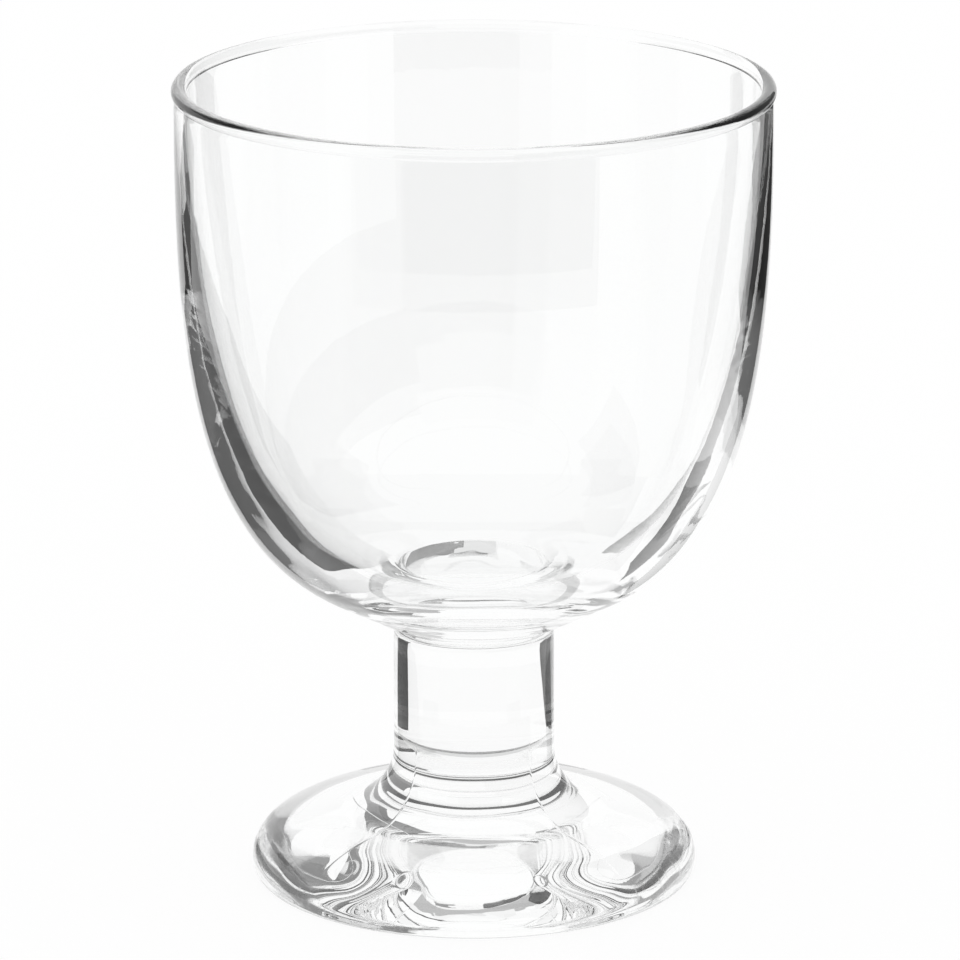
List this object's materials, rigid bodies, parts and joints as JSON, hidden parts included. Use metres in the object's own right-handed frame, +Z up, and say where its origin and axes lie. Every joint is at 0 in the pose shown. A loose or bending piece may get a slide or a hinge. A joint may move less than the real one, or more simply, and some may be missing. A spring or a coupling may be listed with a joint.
{
  "type": "goblet",
  "caption": "Clear glass goblet with a deep round bowl, a beaded rim, a short thick stem and a domed foot, for serving cold drinks.",
  "frame": {"origin": "middle of the flat ring under the foot, on the plane of the table", "axes": "+Z up along the axis of the stem and bowl; X and Y are any two square directions, as the form is round"},
  "size_m": [0.088, 0.088, 0.1205],
  "materials": {
    "clear_glass": "clear, fire-polished, very slightly cool"
  },
  "bodies": {
    "root": {"foot": "clear_glass", "stem": "clear_glass", "bowl": "clear_glass"}
  },
  "joints": []
}
